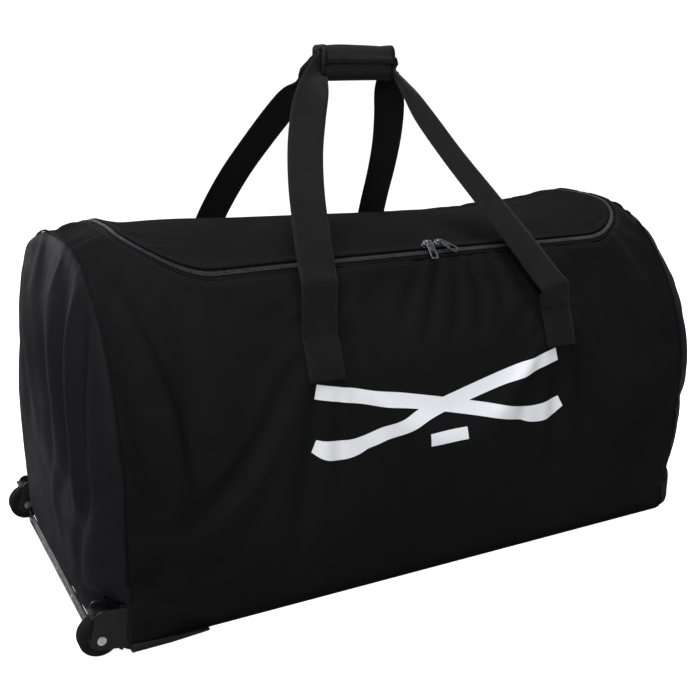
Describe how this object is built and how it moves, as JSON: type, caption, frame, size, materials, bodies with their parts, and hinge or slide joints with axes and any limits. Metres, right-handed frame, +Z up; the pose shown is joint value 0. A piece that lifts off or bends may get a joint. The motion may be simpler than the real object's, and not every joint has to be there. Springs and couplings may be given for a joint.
{
  "type": "hockey equipment bag",
  "caption": "Soft wheeled duffel for ice hockey kit, with a zipped D-shaped lid, carry handles joined by a wrap grip, a pull handle and a stiff base.",
  "frame": {"origin": "middle of the base's underside, at ground level", "axes": "+X along the bag away from the wheels, -Y out of the front with the zip's straight run, +Z up"},
  "size_m": [0.9793, 0.484, 0.7054],
  "materials": {
    "panel_fabric": "matte",
    "end_fabric": "matte",
    "board": "matte",
    "webbing": "matte",
    "binding": "matte",
    "zip_coil": "satin",
    "slider_metal": "satin",
    "tab_metal": "satin",
    "housing_plastic": "satin",
    "rivet_metal": "satin",
    "tyre": "matte",
    "hub_plastic": "matte",
    "bush_plastic": "satin",
    "grip_fabric": "matte",
    "hook_and_loop": "matte"
  },
  "bodies": {
    "bag": {"base_panel": "panel_fabric", "base_board": "board", "front_panel": "panel_fabric", "back_panel": "panel_fabric", "wheel_end_panel": "end_fabric", "pull_end_panel": "panel_fabric", "top_yoke_left": "panel_fabric", "top_yoke_right": "panel_fabric", "seam_binding_left": "binding", "seam_binding_right": "binding", "zip_track_body": "zip_coil", "zip_end_stops": "zip_coil", "anchor_front_left": "webbing", "anchor_front_right": "webbing", "anchor_back_left": "webbing", "anchor_back_right": "webbing", "wheel_housing_front": "housing_plastic", "wheel_housing_rear": "housing_plastic", "backing_plate_front": "board", "backing_plate_rear": "board", "housing_rivets_front": "rivet_metal", "housing_rivets_rear": "rivet_metal", "end_skid": "housing_plastic", "skid_rivets": "rivet_metal", "axle_front": "rivet_metal", "axle_rear": "rivet_metal", "pull_handle_anchors": "webbing"},
    "wheel_front": {"tyre_front": "tyre", "hub_front": "hub_plastic", "bush_front": "bush_plastic"},
    "wheel_rear": {"tyre_rear": "tyre", "hub_rear": "hub_plastic", "bush_rear": "bush_plastic"},
    "slider_left": {"zip_slider_left": "slider_metal"},
    "slider_right": {"zip_slider_right": "slider_metal"},
    "tab_left": {"pull_tab_left": "tab_metal"},
    "tab_right": {"pull_tab_right": "tab_metal"},
    "lid": {"lid_panel": "panel_fabric", "zip_track_lid": "zip_coil"},
    "front_handle": {"front_handle_strap": "webbing", "grip_pad": "grip_fabric", "loop_tape": "hook_and_loop"},
    "flap": {"grip_flap": "grip_fabric", "hook_tape": "hook_and_loop"},
    "back_handle": {"back_handle_strap": "webbing"},
    "pull_handle": {"pull_handle_webbing": "webbing"}
  },
  "joints": [
    {"name": "wheel_front_spin", "type": "hinge", "parent": "bag", "child": "wheel_front", "pos_m": [-0.463, -0.219, 0.025], "axis": [0, 1, 0], "continuous": true},
    {"name": "wheel_rear_spin", "type": "hinge", "parent": "bag", "child": "wheel_rear", "pos_m": [-0.463, 0.219, 0.025], "axis": [0, 1, 0], "continuous": true},
    {"name": "slider_left_run", "type": "slide", "parent": "bag", "child": "slider_left", "axis": [1, 0, 0], "range_m": [-0.285, 0]},
    {"name": "slider_right_run", "type": "slide", "parent": "bag", "child": "slider_right", "axis": [1, 0, 0], "range_m": [0, 0.25]},
    {"name": "tab_left_lift", "type": "hinge", "parent": "slider_left", "child": "tab_left", "pos_m": [0.031, -0.15628, 0.44905], "axis": [-1, 0, 0], "range_deg": [0, 110]},
    {"name": "tab_right_lift", "type": "hinge", "parent": "slider_right", "child": "tab_right", "pos_m": [0.049, -0.15628, 0.44905], "axis": [-0.6157, -0.6098, -0.4991], "range_deg": [0, 110]},
    {"name": "lid_open", "type": "hinge", "parent": "bag", "child": "lid", "pos_m": [0, 0.1324, 0.46113], "axis": [-1, 0, 0], "range_deg": [0, 150]},
    {"name": "front_handle_swing", "type": "hinge", "parent": "bag", "child": "front_handle", "pos_m": [0, -0.22141, 0.3576], "axis": [1, 0, 0], "range_deg": [0, 150]},
    {"name": "back_handle_swing", "type": "hinge", "parent": "bag", "child": "back_handle", "pos_m": [0, 0.22141, 0.3576], "axis": [-1, 0, 0], "range_deg": [0, 150]},
    {"name": "grip_flap_open", "type": "hinge", "parent": "front_handle", "child": "flap", "pos_m": [0, 0.018, 0.7012], "axis": [-1, 0, 0], "range_deg": [0, 120]},
    {"name": "pull_handle_swing", "type": "hinge", "parent": "bag", "child": "pull_handle", "pos_m": [0.47951, 0, 0.3325], "axis": [0, -1, 0], "range_deg": [0, 140]}
  ],
  "couplings": [
    {"joint": "front_handle_swing", "follows": "lid_open", "ratio": 1},
    {"joint": "back_handle_swing", "follows": "lid_open", "ratio": 1},
    {"joint": "grip_flap_open", "follows": "lid_open", "ratio": 0.8}
  ]
}
